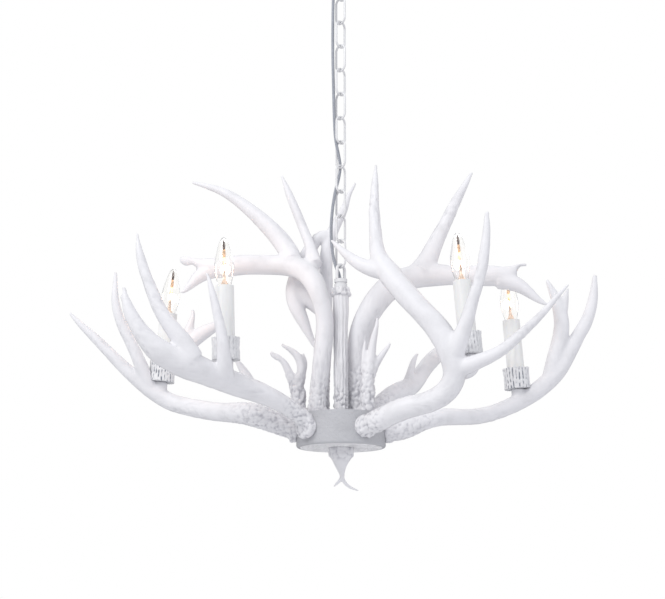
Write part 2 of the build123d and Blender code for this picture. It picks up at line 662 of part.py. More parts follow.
with BuildPart() as hub_cover:
    with BuildSketch(Plane.XY.offset(hub_rim)):
        Circle(HUB_RADIUS - HUB_WALL - COVER_GAP)
        Circle(TUBE_RADIUS + BORE_GAP, mode=Mode.SUBTRACT)
    extrude(amount=COVER_THICKNESS)
save(hub_cover, "hub_cover")

# ---------------------------------------------------------------- finial
# A small antler tip turned upside down, screwed to the end of the centre tube. Its points
# are measured from the middle of the hub's rim.
FINIAL_RADIUS = 22.0
FINIAL_HEIGHT = 14.0
FINIAL_TIP = [
    (0, 0, -14, 22), (0, 0, -21, 16), (0, 0, -30, 11), (1, 0, -41, 6), (2, 0, -52, 4),
]
FINIAL_FORKS = [
    [(2, 0, -49, 4), (-2, 0, -57, 3), (-7, 0, -62, 2.2), (-12, 0, -66, 1.2)],
    [(2, 0, -49, 4), (6, 0, -60, 3), (16, 0, -69, 2.6), (30, 0, -74, 1.2)],
]
with BuildPart() as finial:
    with BuildSketch(Plane.XY.offset(hub_rim)):
        Circle(FINIAL_RADIUS)
    extrude(amount=-FINIAL_HEIGHT)
    rim = Vector(0, 0, hub_rim)
    horn([at(rim, point) for point in FINIAL_TIP])
    for fork in FINIAL_FORKS:
        horn([at(rim, point) for point in fork])
    with BuildSketch(Plane.XY.offset(hub_rim)):
        Circle(TUBE_RADIUS + THREAD_GAP)
    extrude(amount=-FINIAL_THREAD - BORE_GAP, mode=Mode.SUBTRACT)
save(finial, "finial")

# ---------------------------------------------------------------- candles
sleeve_top = CUP_FLOOR + SLEEVE_LENGTH
socket_top = sleeve_top - SOCKET_BELOW_RIM
socket_radius = SLEEVE_RADIUS - SLEEVE_WALL - SLEEVE_GAP
cavity_radius = socket_radius - SOCKET_WALL
cavity_floor = socket_top - SOCKET_CAVITY
base_radius = cavity_radius - BASE_GAP
base_bottom = cavity_floor + BASE_GAP
base_top = base_bottom + BASE_HEIGHT


def lifted(plane, height):
    """A plane further up the candle."""
    return Plane(
        origin=plane.origin + plane.z_dir * height, x_dir=plane.x_dir, z_dir=plane.z_dir
    )


def candle(name, plane):
    """Make the cup, sleeve, socket and bulb of one candle on its seat."""
    profile = Plane(origin=plane.origin, x_dir=plane.x_dir, z_dir=-plane.y_dir)
    axis = Axis(plane.origin, plane.z_dir)

    with BuildPart() as cup:
        with BuildSketch(profile):
            with BuildLine():
                waist = (CUP_RADIUS - CUP_WAIST, CUP_HEIGHT / 2)
                Line((0, 0), (CUP_RADIUS, 0))
                ThreePointArc((CUP_RADIUS, 0), waist, (CUP_RADIUS, CUP_HEIGHT))
                Line((CUP_RADIUS, CUP_HEIGHT), (0, CUP_HEIGHT))
                Line((0, CUP_HEIGHT), (0, 0))
            make_face()
        revolve(axis=axis)
        with BuildSketch(plane):
            with PolarLocations(CUP_RADIUS + CUP_GROOVE_RADIUS / 4, CUP_GROOVES):
                Circle(CUP_GROOVE_RADIUS)
        extrude(amount=CUP_HEIGHT, mode=Mode.SUBTRACT)
        with BuildSketch(lifted(plane, CUP_HEIGHT)):
            Circle(SLEEVE_RADIUS + SLEEVE_GAP)
        extrude(amount=CUP_FLOOR - CUP_HEIGHT, mode=Mode.SUBTRACT)
        with BuildSketch(plane):
            Circle(TUBE_RADIUS + BORE_GAP)
        extrude(amount=CUP_FLOOR, mode=Mode.SUBTRACT)
    save(cup, f"candle_cup_{name}")

    with BuildPart() as sleeve:
        with BuildSketch(lifted(plane, CUP_FLOOR)):
            Circle(SLEEVE_RADIUS)
            Circle(SLEEVE_RADIUS - SLEEVE_WALL, mode=Mode.SUBTRACT)
        extrude(amount=SLEEVE_LENGTH)
    save(sleeve, f"candle_sleeve_{name}")

    with BuildPart() as socket:
        with BuildSketch(lifted(plane, -SOCKET_POST)):
            Circle(TUBE_RADIUS)
        extrude(amount=SOCKET_POST + socket_top - SOCKET_HEIGHT)
        with BuildSketch(lifted(plane, socket_top - SOCKET_HEIGHT)):
            Circle(socket_radius)
        extrude(amount=SOCKET_HEIGHT)
        with BuildSketch(lifted(plane, socket_top)):
            Circle(cavity_radius)
        extrude(amount=-SOCKET_CAVITY, mode=Mode.SUBTRACT)
    save(socket, f"lamp_socket_{name}")

    with BuildPart() as base:
        with BuildSketch(lifted(plane, base_bottom)):
            Circle(base_radius / 2)
        with BuildSketch(lifted(plane, base_bottom + BASE_HEIGHT / 4)):
            Circle(base_radius)
        loft()
        with BuildSketch(lifted(plane, base_bottom + BASE_HEIGHT / 4)):
            Circle(base_radius)
        extrude(amount=BASE_HEIGHT * 3 / 4)
    save(base, f"bulb_base_{name}")

    tip = sleeve_top + GLASS_HEIGHT
    belly = sleeve_top + GLASS_BELLY
    shoulder = sleeve_top + GLASS_SHOULDER
    inner_neck = GLASS_NECK - GLASS_WALL
    with BuildPart() as glass:
        with BuildSketch(profile):
            with BuildLine():
                Spline(
                    (GLASS_NECK, base_top), (GLASS_MOUTH, sleeve_top),
                    (GLASS_RADIUS, belly), (GLASS_SHOULDER_RADIUS, shoulder), (0, tip),
                    tangents=[(0, 1), (-1, 0.5)],
                )
                Line((0, tip), (0, tip - GLASS_WALL))
                Spline(
                    (0, tip - GLASS_WALL), (GLASS_SHOULDER_RADIUS - GLASS_WALL, shoulder),
                    (GLASS_RADIUS - GLASS_WALL, belly),
                    (GLASS_MOUTH - GLASS_WALL, sleeve_top), (inner_neck, base_top),
                    tangents=[(1, -0.5), (0, -1)],
                )
                Line((inner_neck, base_top), (GLASS_NECK, base_top))
            make_face()
        revolve(axis=axis)
    save(glass, f"bulb_glass_{name}")


for cup_name, cup_plane in cups.items():
    candle(cup_name, cup_plane)

# ---------------------------------------------------------------- supply cord
# From inside the ceiling loop's nipple it runs down the chain's left side, in and out
# of two links, bows away and comes back through the stem's loop into the centre tube.
CORD_ROUTE = [
    (0, 0, -10), (0, 0, -49), (-9.5, 0, -66), (-13.5, 0.5, -100), (-14.5, 0.5, -165),
    (-14.5, -0.5, -230), (-13.2, -0.5, -290), (-12, 0, -345), (-10, -0.2, -390),
    (-3.6, 3, -420), (0, 8.5, -440), (-3.5, 7, -464), (-10, 0, -489), (-15.5, -1, -526),
    (-18, 0, -562), (-16.5, 0, -597), (-10.5, 0, -630), (0, 0, -651), (0, 0, -676),
]


def bend_radii(route):
    """An arc for each corner that fits the corner's two runs."""
    points = [Vector(*point) for point in route]
    radii = []
    for before, corner, after in zip(points, points[1:], points[2:]):
        arrive, leave = corner - before, after - corner
        half_turn = radians(arrive.get_angle(leave)) / 2
        radii.append(BEND_SHARE * min(arrive.length, leave.length) / tan(half_turn))
    return radii


def tube(route, radius):
    """Sweep a round section along straight runs joined by tangent arcs."""
    with BuildLine() as path:
        FilletPolyline(*route, radius=bend_radii(route))
    line = path.wire()
    sweep(disc(Plane(origin=line @ 0, z_dir=line % 0), radius), path=line)
    return line.length


with BuildPart() as supply_cord:
    cord_length = tube(CORD_ROUTE, CORD_RADIUS)
save(supply_cord, "supply_cord")
cord_volume = pi * CORD_RADIUS**2 * cord_length
print("cord length", round(cord_length))
print("cord volume over section times length", round(supply_cord.part.volume / cord_volume, 4))

# ---------------------------------------------------------------- leads in the canopy
LEAD_SPREAD = (50.0, 90.0, 130.0)  # directions round the axis
LEAD_START = 1.35  # distance from the cord's axis where a lead leaves it
LEAD_LEVEL = -4.0
LEAD_BEND_IN = 14.0
LEAD_BEND_OUT = 21.0
LEAD_SINK = 1.0  # how far a lead drops before its first bend outward
CONNECTOR_REACH = 26.0
CONNECTOR_LENGTH = 18.0
CONNECTOR_DROP = 12.0
CONNECTOR_MOUTH = 5.0
CONNECTOR_TIP = 3.5
LEAD_GRIP = 6.0  # length of a lead inside its connector

with BuildPart() as supply_leads:
    for spread in LEAD_SPREAD:
        way = Vector(cos(radians(spread)), sin(radians(spread)), 0)
        foot = way * LEAD_START
        bend = way * LEAD_BEND_IN
        entry = way * LEAD_BEND_OUT
        end = way * (CONNECTOR_REACH + LEAD_GRIP)
        tube(
            [
                (foot.X, foot.Y, CORD_ROUTE[0][2]),
                (foot.X, foot.Y, LEAD_LEVEL),
                (bend.X, bend.Y, LEAD_LEVEL - LEAD_SINK),
                (entry.X, entry.Y, -CONNECTOR_DROP),
                (end.X, end.Y, -CONNECTOR_DROP),
            ],
            LEAD_RADIUS,
        )
save(supply_leads, "supply_leads")

with BuildPart() as wire_connectors:
    for spread in LEAD_SPREAD:
        way = Vector(cos(radians(spread)), sin(radians(spread)), 0)
        mouth = way * CONNECTOR_REACH + Vector(0, 0, -CONNECTOR_DROP)
        with BuildSketch(Plane(origin=mouth, z_dir=way)):
            Circle(CONNECTOR_MOUTH)
        with BuildSketch(Plane(origin=mouth + way * CONNECTOR_LENGTH, z_dir=way)):
            Circle(CONNECTOR_TIP)
        loft()
        with BuildSketch(Plane(origin=mouth, z_dir=way)):
            Circle(LEAD_RADIUS + BORE_GAP)
        extrude(amount=CONNECTOR_LENGTH / 2, mode=Mode.SUBTRACT)
save(wire_connectors, "wire_connectors")
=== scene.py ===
import json
import math

import bmesh
import bpy
import numpy as np
from mathutils import Matrix, Vector, noise


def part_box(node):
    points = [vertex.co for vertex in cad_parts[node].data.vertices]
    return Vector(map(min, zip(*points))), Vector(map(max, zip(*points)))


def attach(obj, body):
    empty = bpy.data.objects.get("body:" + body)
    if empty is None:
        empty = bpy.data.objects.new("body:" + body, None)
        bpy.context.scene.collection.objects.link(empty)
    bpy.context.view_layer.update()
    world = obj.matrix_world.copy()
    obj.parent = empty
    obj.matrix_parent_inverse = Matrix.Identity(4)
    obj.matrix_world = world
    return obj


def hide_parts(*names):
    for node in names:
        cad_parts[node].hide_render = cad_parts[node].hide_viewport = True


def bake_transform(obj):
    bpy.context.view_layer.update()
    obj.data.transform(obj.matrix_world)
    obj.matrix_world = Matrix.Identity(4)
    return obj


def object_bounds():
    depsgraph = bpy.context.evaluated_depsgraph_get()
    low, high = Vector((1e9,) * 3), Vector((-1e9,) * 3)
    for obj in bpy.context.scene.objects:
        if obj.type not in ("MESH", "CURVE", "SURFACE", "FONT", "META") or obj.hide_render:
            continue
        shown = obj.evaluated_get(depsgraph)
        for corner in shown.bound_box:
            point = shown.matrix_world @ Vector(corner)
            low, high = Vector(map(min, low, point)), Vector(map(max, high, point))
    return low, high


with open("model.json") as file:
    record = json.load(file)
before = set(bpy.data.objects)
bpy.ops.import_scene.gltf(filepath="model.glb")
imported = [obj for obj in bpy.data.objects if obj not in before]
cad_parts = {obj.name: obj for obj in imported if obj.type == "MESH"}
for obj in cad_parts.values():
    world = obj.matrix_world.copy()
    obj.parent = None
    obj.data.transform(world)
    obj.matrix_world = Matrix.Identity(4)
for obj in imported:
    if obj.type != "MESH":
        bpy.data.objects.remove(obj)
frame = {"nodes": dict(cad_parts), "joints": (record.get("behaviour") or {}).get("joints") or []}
cad_low, cad_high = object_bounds()

# Frame: metres, +Z up, origin on the ceiling. The front of the fixture looks along -Y.

SIDES = ("left", "front_left", "front_right", "right")  # the candles
LINKS = 12
LINK_PITCH = 0.047
FIRST_LINK_MIDDLE = -0.0906  # below the ceiling
HUB_LOW, HUB_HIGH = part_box("hub_drum")

# ---------------------------------------------------------------- camera
PHOTO_WIDTH = 665  # pixels
FOCAL_PIXELS = 1477
SENSOR = 36.0  # mm
EYE = Vector((-0.015, -2.6, -1.2546))
PITCH = 12.2  # degrees, looking up


def make_camera():
    """The photograph's view: a little below the fixture, looking up at it."""
    data = bpy.data.cameras.new("photo_camera")
    data.sensor_width = SENSOR
    data.lens = SENSOR * FOCAL_PIXELS / PHOTO_WIDTH
    data.clip_start, data.clip_end = 0.05, 60
    camera = bpy.data.objects.new("photo_camera", data)
    camera.location = EYE
    camera.rotation_euler = (math.radians(90 + PITCH), 0, 0)
    bpy.context.scene.collection.objects.link(camera)
    bpy.context.scene.camera = camera


# ---------------------------------------------------------------- light and stage
FLOOR_LEVEL = -2.1
SKY = (0.965, 0.968, 1.0)
SKY_STRENGTH = 0.65
FLOOR_SIZE = 14
FLOOR_WHITE = (0.86, 0.86, 0.87)
AIM = (0, 0, -0.75)  # what the lamps point at
# Each lamp's name, place, size, power in watts and colour
LAMPS = (
    ("key", (-1.9, -2.2, 1.3), 1.7, 62, (1.0, 0.995, 0.985)),
    ("fill", (2.2, -1.8, 0.2), 2.0, 14, (0.93, 0.94, 1.0)),
    ("rear", (0.4, 2.2, 1.0), 2.0, 16, (0.97, 0.97, 1.0)),
)


def make_world():
    """Soft even light. What the camera, gloss and glass see of it is white."""
    world = bpy.data.worlds.new("studio")
    bpy.context.scene.world = world
    world.use_nodes = True
    nodes, links = world.node_tree.nodes, world.node_tree.links
    nodes.clear()
    output = nodes.new("ShaderNodeOutputWorld")
    mix = nodes.new("ShaderNodeMixShader")
    soft = nodes.new("ShaderNodeBackground")
    soft.inputs["Color"].default_value = (*SKY, 1)
    soft.inputs["Strength"].default_value = SKY_STRENGTH
    white = nodes.new("ShaderNodeBackground")
    white.inputs["Color"].default_value = (1, 1, 1, 1)
    white.inputs["Strength"].default_value = 1
    path = nodes.new("ShaderNodeLightPath")
    seen = nodes.new("ShaderNodeMath")
    seen.operation = "MAXIMUM"
    both = nodes.new("ShaderNodeMath")
    both.operation = "MAXIMUM"
    links.new(path.outputs["Is Glossy Ray"], seen.inputs[0])
    links.new(path.outputs["Is Transmission Ray"], seen.inputs[1])
    links.new(seen.outputs[0], both.inputs[0])
    links.new(path.outputs["Is Camera Ray"], both.inputs[1])
    links.new(both.outputs[0], mix.inputs["Fac"])
    links.new(soft.outputs[0], mix.inputs[1])
    links.new(white.outputs[0], mix.inputs[2])
    links.new(mix.outputs[0], output.inputs["Surface"])


def area_lamp(name, place, size, power, colour):
    """A soft square lamp aimed at the fixture."""
    data = bpy.data.lights.new(name, "AREA")
    data.shape = "SQUARE"
    data.size = size
    data.energy = power
    data.color = colour
    lamp = bpy.data.objects.new(name, data)
    lamp.location = place
    lamp.rotation_euler = (Vector(AIM) - Vector(place)).to_track_quat("-Z", "Y").to_euler()
    bpy.context.scene.collection.objects.link(lamp)


def make_floor():
    """A plain pale floor, far below the fixture."""
    bpy.ops.mesh.primitive_plane_add(size=FLOOR_SIZE, location=(0, 0, FLOOR_LEVEL))
    floor = bpy.context.object
    floor.name = "floor"
    floor.data.materials.append(plaster("floor_white", FLOOR_WHITE))


# ---------------------------------------------------------------- materials
BRUSHED = (1, 1, 12)  # how a metal's brushing is stretched round it


def new_material(name):
    """A material with an empty Principled shader, and its nodes and links."""
    material = bpy.data.materials.new(name)
    material.use_nodes = True
    tree = material.node_tree
    return material, tree.nodes, tree.links, tree.nodes["Principled BSDF"]


def coordinates(nodes, links, scale, stretch=(1, 1, 1)):
    """Object coordinates, scaled, as the vector for a texture."""
    source = nodes.new("ShaderNodeTexCoord")
    mapping = nodes.new("ShaderNodeMapping")
    mapping.inputs["Scale"].default_value = [scale * s for s in stretch]
    links.new(source.outputs["Object"], mapping.inputs["Vector"])
    return mapping.outputs["Vector"]


def noise_node(nodes, links, scale, detail=4, rough=0.55, stretch=(1, 1, 1)):
    """A noise texture in metres: scale is features per metre."""
    texture = nodes.new("ShaderNodeTexNoise")
    texture.inputs["Scale"].default_value = 1
    texture.inputs["Detail"].default_value = detail
    texture.inputs["Roughness"].default_value = rough
    links.new(coordinates(nodes, links, scale, stretch), texture.inputs["Vector"])
    return texture.outputs["Fac"]


def ramp(nodes, links, value, stops):
    """A colour ramp over a value. Stops are (position, colour)."""
    node = nodes.new("ShaderNodeValToRGB")
    elements = node.color_ramp.elements
    while len(elements) < len(stops):
        elements.new(0.5)
    for element, (position, colour) in zip(elements, stops):
        element.position = position
        element.color = (*colour, 1)
    links.new(value, node.inputs["Fac"])
    return node.outputs["Color"]


def mixed(nodes, links, kind, factor, first, second):
    """Two colours mixed by a factor, which is a number or a socket."""
    node = nodes.new("ShaderNodeMix")
    node.data_type = "RGBA"
    node.blend_type = kind
    if isinstance(factor, float):
        node.inputs["Factor"].default_value = factor
    else:
        links.new(factor, node.inputs["Factor"])
    for socket, value in ((node.inputs["A"], first), (node.inputs["B"], second)):
        if isinstance(value, tuple):
            socket.default_value = (*value, 1)
        else:
            links.new(value, socket)
    return node.outputs["Result"]


def grazing_shade(nodes, links, base, edge, start, share):
    """A colour that turns to a painted edge shade where the surface slants away from the view."""
    weight = nodes.new("ShaderNodeLayerWeight")
    weight.inputs["Blend"].default_value = 0.5
    fade = ramp(nodes, links, weight.outputs["Facing"], [(start, (0, 0, 0)), (1, (share,) * 3)])
    return mixed(nodes, links, "MIX", fade, base, edge)


def add_bump(nodes, links, shader, heights):
    """Chain bump nodes into the shader. Heights are (socket, depth in metres)."""
    last = None
    for height, depth in heights:
        bump = nodes.new("ShaderNodeBump")
        bump.inputs["Distance"].default_value = depth
        bump.inputs["Strength"].default_value = 1
        links.new(height, bump.inputs["Height"])
        if last is not None:
            links.new(last, bump.inputs["Normal"])
        last = bump.outputs["Normal"]
    links.new(last, shader.inputs["Normal"])


def plaster(name, colour):
    """A matt painted surface with a very faint mottle."""
    material, nodes, links, shader = new_material(name)
    cloud = noise_node(nodes, links, 3)
    darker = tuple(c * 0.97 for c in colour)
    links.new(ramp(nodes, links, cloud, [(0.3, darker), (0.7, colour)]), shader.inputs["Base Color"])
    shader.inputs["Roughness"].default_value = 0.8
    add_bump(nodes, links, shader, [(noise_node(nodes, links, 250), 0.0002)])
    return material


def resin(name, colour, crease_shade, grain_depth=0.0003):
    """Satin cast resin: a faint mottle, painted shade in its creases and at its slanting edges, and a
    fine grain.
    """
    material, nodes, links, shader = new_material(name)
    pale = tuple(min(c * 1.02, 1) for c in colour)
    dull = tuple(c * 0.93 for c in colour)
    mottle = noise_node(nodes, links, 28, 5)
    base = ramp(nodes, links, mottle, [(0.32, dull), (0.5, colour), (0.72, pale)])
    # painted shade: the crease attribute darkens grooves and hollows towards the crease colour
    cavity_shade = nodes.new("ShaderNodeAttribute")
    cavity_shade.attribute_name = "crease_shade"
    toned = mixed(nodes, links, "MIX", cavity_shade.outputs["Fac"], base, crease_shade)
    # painted shade: the resin darkens towards its slanting edges
    shaded_edges = grazing_shade(nodes, links, toned, tuple(c * 0.62 for c in colour), 0.55, 0.75)
    links.new(shaded_edges, shader.inputs["Base Color"])
    gloss = noise_node(nodes, links, 90, 3)
    roughness = ramp(nodes, links, gloss, [(0.3, (0.42,) * 3), (0.75, (0.6,) * 3)])
    links.new(roughness, shader.inputs["Roughness"])
    shader.inputs["Specular IOR Level"].default_value = 0.35
    fine = noise_node(nodes, links, 900, 3)
    coarse = noise_node(nodes, links, 210, 4)
    add_bump(nodes, links, shader, [(coarse, grain_depth), (fine, grain_depth / 3)])
    return material


def speckled(name, colour, dark):
    """Rough cast resin, speckled dark."""
    material, nodes, links, shader = new_material(name)
    grains = noise_node(nodes, links, 380, 4, 0.65)
    pale = tuple(c * 1.15 for c in colour)
    base = ramp(nodes, links, grains, [(0.36, dark), (0.52, colour), (0.7, pale)])
    cloud = noise_node(nodes, links, 40, 3)
    patches = ramp(nodes, links, cloud, [(0.35, (0.82,) * 3), (0.65, (1, 1, 1))])
    links.new(mixed(nodes, links, "MULTIPLY", 1.0, base, patches), shader.inputs["Base Color"])
    shader.inputs["Roughness"].default_value = 0.7
    add_bump(nodes, links, shader, [(grains, 0.0007)])
    return material


def enamel(name, colour):
    """White enamel on metal, slightly uneven, with a few worn spots and painted shade at its edges."""
    material, nodes, links, shader = new_material(name)
    runs = noise_node(nodes, links, 60, 4)
    dull = tuple(c * 0.9 for c in colour)
    base = ramp(nodes, links, runs, [(0.3, dull), (0.6, colour)])
    fine = noise_node(nodes, links, 420, 2)
    spots = ramp(nodes, links, fine, [(0.74, (0, 0, 0)), (0.8, (1, 1, 1))])
    worn = mixed(nodes, links, "MIX", spots, base, (0.5, 0.51, 0.54))
    # painted shade: the enamel turns near black where it slants away from the view
    shaded_edges = grazing_shade(nodes, links, worn, (0.16, 0.17, 0.20), 0.45, 0.9)
    links.new(shaded_edges, shader.inputs["Base Color"])
    gloss = noise_node(nodes, links, 150, 3)
    roughness = ramp(nodes, links, gloss, [(0.3, (0.28,) * 3), (0.7, (0.42,) * 3)])
    links.new(roughness, shader.inputs["Roughness"])
    shader.inputs["Coat Weight"].default_value = 0.25
    shader.inputs["Coat Roughness"].default_value = 0.2
    add_bump(nodes, links, shader, [(noise_node(nodes, links, 350, 3), 0.00012)])
    return material


def metal(name, colour, roughness):
    """Bare metal with fine brushing."""
    material, nodes, links, shader = new_material(name)
    lines = noise_node(nodes, links, 180, 4, 0.6, BRUSHED)
    dull = tuple(c * 0.8 for c in colour)
    links.new(ramp(nodes, links, lines, [(0.3, dull), (0.7, colour)]), shader.inputs["Base Color"])
    low, high = (roughness * 0.8,) * 3, (roughness * 1.3,) * 3
    links.new(ramp(nodes, links, lines, [(0.3, low), (0.7, high)]), shader.inputs["Roughness"])
    shader.inputs["Metallic"].default_value = 1
    add_bump(nodes, links, shader, [(lines, 0.00006)])
    return material


def moulded(name, colour, roughness):
    """Moulded plastic with a fine spark texture."""
    material, nodes, links, shader = new_material(name)
    cloud = noise_node(nodes, links, 45, 3)
    dull = tuple(c * 0.88 for c in colour)
    links.new(ramp(nodes, links, cloud, [(0.3, dull), (0.65, colour)]), shader.inputs["Base Color"])
    low, high = (roughness * 0.85,) * 3, (roughness * 1.15,) * 3
    links.new(ramp(nodes, links, cloud, [(0.3, low), (0.7, high)]), shader.inputs["Roughness"])
    add_bump(nodes, links, shader, [(noise_node(nodes, links, 1200, 2), 0.00004)])
    return material


def candle_white(name):
    """The candle sleeve: smooth white with soft vertical streaks."""
    material, nodes, links, shader = new_material(name)
    streaks = noise_node(nodes, links, 120, 4, 0.6, (1, 1, 0.12))
    stops = [(0.3, (0.77, 0.77, 0.765)), (0.5, (0.85, 0.85, 0.835)), (0.7, (0.89, 0.89, 0.87))]
    links.new(ramp(nodes, links, streaks, stops), shader.inputs["Base Color"])
    shader.inputs["Roughness"].default_value = 0.45
    shader.inputs["Subsurface Weight"].default_value = 0.1
    shader.inputs["Subsurface Radius"].default_value = (0.004, 0.003, 0.002)
    shader.inputs["Subsurface Scale"].default_value = 1
    add_bump(nodes, links, shader, [(streaks, 0.00015)])
    return material


def braid(name):
    """A woven grey sheath."""
    material, nodes, links, shader = new_material(name)
    strand = nodes.new("ShaderNodeTexWave")
    strand.wave_type = "BANDS"
    strand.bands_direction = "DIAGONAL"
    strand.inputs["Scale"].default_value = 1
    strand.inputs["Distortion"].default_value = 1.5
    links.new(coordinates(nodes, links, 260), strand.inputs["Vector"])
    fibre = noise_node(nodes, links, 700, 3)
    stops = [(0.2, (0.24, 0.26, 0.30)), (0.8, (0.44, 0.46, 0.51))]
    tone = ramp(nodes, links, strand.outputs["Fac"], stops)
    grain = ramp(nodes, links, fibre, [(0.3, (0.3,) * 3), (0.7, (0.7,) * 3)])
    fuzz = mixed(nodes, links, "OVERLAY", 0.35, tone, grain)
    links.new(fuzz, shader.inputs["Base Color"])
    shader.inputs["Roughness"].default_value = 0.75
    shader.inputs["Sheen Weight"].default_value = 0.3
    add_bump(nodes, links, shader, [(strand.outputs["Fac"], 0.0003), (fibre, 0.0001)])
    return material


def clear_glass(name):
    """Clear blown glass, with a painted dark reflection at its edges, and a faint unevenness."""
    material, nodes, links, shader = new_material(name)
    edge = nodes.new("ShaderNodeLayerWeight")
    edge.inputs["Blend"].default_value = 0.35
    # painted reflection: the glass turns grey where it slants away
    stops = [(0.4, (0.99, 0.985, 0.975)), (0.95, (0.20, 0.21, 0.26))]
    edge_reflection_grey = ramp(nodes, links, edge.outputs["Facing"], stops)
    links.new(edge_reflection_grey, shader.inputs["Base Color"])
    shader.inputs["Transmission Weight"].default_value = 1
    shader.inputs["Roughness"].default_value = 0.02
    shader.inputs["IOR"].default_value = 1.45
    add_bump(nodes, links, shader, [(noise_node(nodes, links, 70, 2), 0.0002)])
    return material


def amber_glass(name, colour, strength):
    """Tinted glass, cloudy inside, with a faint glow from the filament."""
    material, nodes, links, shader = new_material(name)
    cloud = noise_node(nodes, links, 160, 3)
    dull = tuple(c * 0.6 for c in colour)
    shade = ramp(nodes, links, cloud, [(0.35, dull), (0.65, colour)])
    links.new(shade, shader.inputs["Base Color"])
    links.new(shade, shader.inputs["Emission Color"])
    shader.inputs["Emission Strength"].default_value = strength
    shader.inputs["Transmission Weight"].default_value = 0.45
    shader.inputs["Roughness"].default_value = 0.15
    add_bump(nodes, links, shader, [(cloud, 0.0003)])
    return material


def glow(name, colour, strength):
    """A hot or lit surface, with slight variation along it."""
    material, nodes, links, shader = new_material(name)
    flicker = noise_node(nodes, links, 300, 2)
    dull = tuple(c * 0.85 for c in colour)
    shade = ramp(nodes, links, flicker, [(0.3, dull), (0.7, colour)])
    links.new(shade, shader.inputs["Emission Color"])
    links.new(shade, shader.inputs["Base Color"])
    shader.inputs["Emission Strength"].default_value = strength
    return material


RESIN_WHITE = (0.82, 0.82, 0.845)
# Painted shade: the colours that creases, clefts and hollows are darkened to.
CREASE_SHADE_GREY = (0.50, 0.50, 0.54)
CUP_CLEFT_SHADE_COLOUR = (0.13, 0.15, 0.20)
antler_white = resin("antler_resin", RESIN_WHITE, CREASE_SHADE_GREY)
# painted shade: the stem's creases darken further than the antlers'
stem_white = resin("stem_resin", (0.82, 0.82, 0.84), (0.36, 0.36, 0.40), 0.0006)
# Painted shade: the hub is a darker copy of the white resin, for the shade that falls on it under the
# antlers.
hub_shaded_resin = resin("hub_resin_painted_shade", (0.54, 0.545, 0.572), CREASE_SHADE_GREY, 0.0020)
hub_under = speckled("hub_under", (0.99, 0.99, 1.0), (0.20, 0.20, 0.23))
cup_white = resin("cup_resin", (0.80, 0.805, 0.82), CUP_CLEFT_SHADE_COLOUR, 0.0004)
white_enamel = enamel("white_enamel", (0.77, 0.775, 0.79))
zinc = metal("zinc_plate", (0.62, 0.62, 0.64), 0.35)
brass = metal("bulb_brass", (0.78, 0.60, 0.30), 0.28)
black_mould = moulded("socket_black", (0.035, 0.035, 0.038), 0.45)
orange_mould = moulded("connector_orange", (0.82, 0.36, 0.08), 0.35)
lead_ivory = moulded("lead_ivory", (0.72, 0.71, 0.66), 0.4)
sleeve_white = candle_white("sleeve_white")
cord_braid = braid("cord_braid")
bulb_clear = clear_glass("bulb_clear")
filament_hot = glow("filament_hot", (1.0, 0.66, 0.34), 2.2)
core_warm = amber_glass("core_warm", (0.95, 0.78, 0.66), 0.35)
ember_amber = amber_glass("ember_amber", (0.85, 0.60, 0.40), 0.25)
tip_brown = amber_glass("tip_brown", (0.30, 0.22, 0.20), 0.0)
wire_dark = metal("wire_dark", (0.30, 0.20, 0.15), 0.4)


def dress(node, material):
    """Give a carried-over node its finish."""
    slots = frame["nodes"][node].data.materials
    slots.clear()
    slots.append(material)


def tube_along(name, line, radius, sides):
    """A round tube over a list of points, with one radius or a radius at each point."""
    mesh = bmesh.new()
    line = [Vector(p) for p in line]
    across = None
    rings = []
    for index, point in enumerate(line):
        run = (line[min(index + 1, len(line) - 1)] - line[max(index - 1, 0)]).normalized()
        if across is None:
            across = run.orthogonal()
        across = (across - run * across.dot(run)).normalized()
        other = run.cross(across)
        size = radius[index] if isinstance(radius, (list, tuple)) else radius
        rings.append(
            [
                mesh.verts.new(point + (across * math.cos(a) + other * math.sin(a)) * size)
                for a in (2 * math.pi * k / sides for k in range(sides))
            ]
        )
    for lower, upper in zip(rings, rings[1:]):
        for k in range(sides):
            mesh.faces.new((lower[k], lower[(k + 1) % sides], upper[(k + 1) % sides], upper[k]))
    mesh.faces.new(list(reversed(rings[0])))
    mesh.faces.new(rings[-1])
    shape = bpy.data.meshes.new(name)
    mesh.to_mesh(shape)
    mesh.free()
    shape.shade_smooth()
    return shape


# ---------------------------------------------------------------- carved resin pieces
VOXEL = 0.0018
TRAVEL_ROUNDS = 420
FORK_ROUNDS = 45
FORK_FLOOR = 0.000015  # a hollow shallower than this is left
FORK_STEP = 0.0006  # the most that a hollow is filled in one round
SEAT_BLEND = (0.0035, 0.0012)  # free beyond the first distance from the seat, held inside the second
SEAT_REACH = 0.004  # points this near to the seat start the distance along the horn
HORN_LENGTH = 0.05  # a tip is further than this from the seat
WORN = (0.012, 0.12)  # the grooves fade out over this distance from a tip
RIDGE_ROUNDS, FINE_ROUNDS = 26, 9  # more rounds draw the ridges out longer
RIDGE_HEIGHT, FINE_HEIGHT = 0.00060, 0.00026
PEARL_HEIGHT = 0.0027
PEARL_MIDDLE = 0.52  # pearls rise above this height and hollows sink below it
PEARL_SCALES = ((150, 0.7), (300, 0.3))  # pearls per metre, and their share of the height
SWELL_SCALE, SWELL_HEIGHT = 16, 0.0007
TIP_REACH, TIP_GROWTH = 0.009, 0.0022  # a worn tip's last stretch, and how far it's drawn out
ROOT_SIDES = 24
# A tapered root, where a tine springs abruptly from its beam: its line and its radii
TINE_ROOTS = {
    "antler_upper_left": (
        [
            (-0.053, -0.004, -0.652), (-0.053, 0.008, -0.626),
            (-0.055, 0.020, -0.603), (-0.057, 0.034, -0.582),
        ],
        [0.0145, 0.0125, 0.0105, 0.0092],
    ),
}
rng = np.random.default_rng(7)


